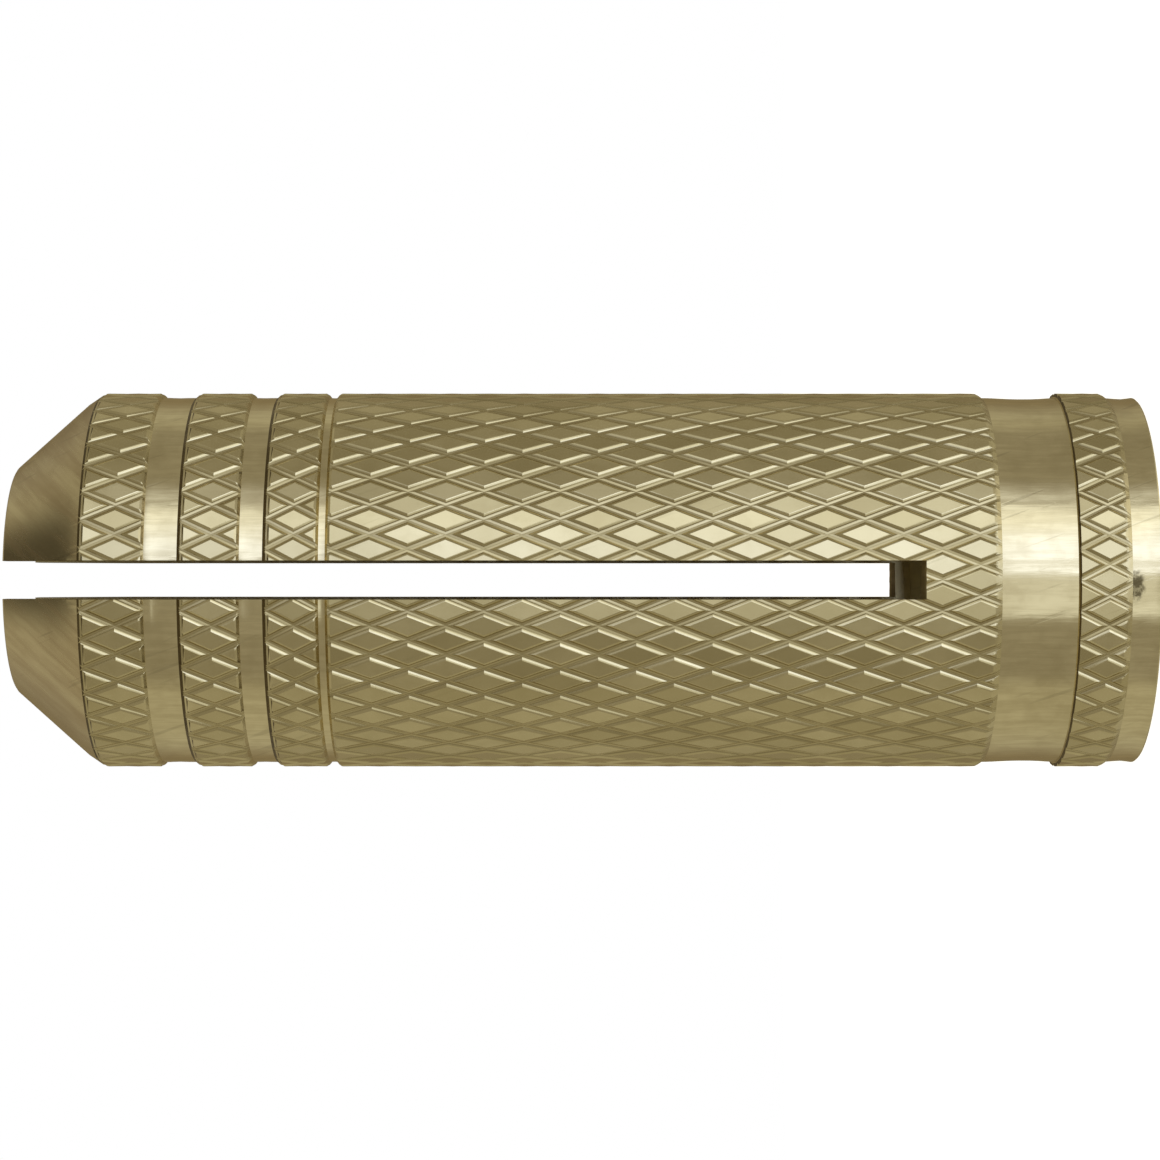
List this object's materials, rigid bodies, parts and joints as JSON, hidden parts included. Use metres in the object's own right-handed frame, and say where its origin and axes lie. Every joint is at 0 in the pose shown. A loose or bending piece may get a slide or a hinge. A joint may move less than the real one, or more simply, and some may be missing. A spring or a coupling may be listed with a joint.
{
  "type": "brass expansion anchor",
  "caption": "Slotted brass sleeve with a diamond knurl, a threaded bore and a coned tip, which a screw spreads to grip a drilled hole.",
  "frame": {"origin": "centre of the mouth face, where the screw enters", "axes": "+Z along the sleeve's axis from the mouth to the coned tip; the slot runs in the YZ plane"},
  "size_m": [0.008, 0.008, 0.0238],
  "materials": {
    "brass": "turned and knurled bright brass, lightly tarnished"
  },
  "bodies": {
    "root": {"anchor_sleeve": "brass"}
  },
  "joints": []
}
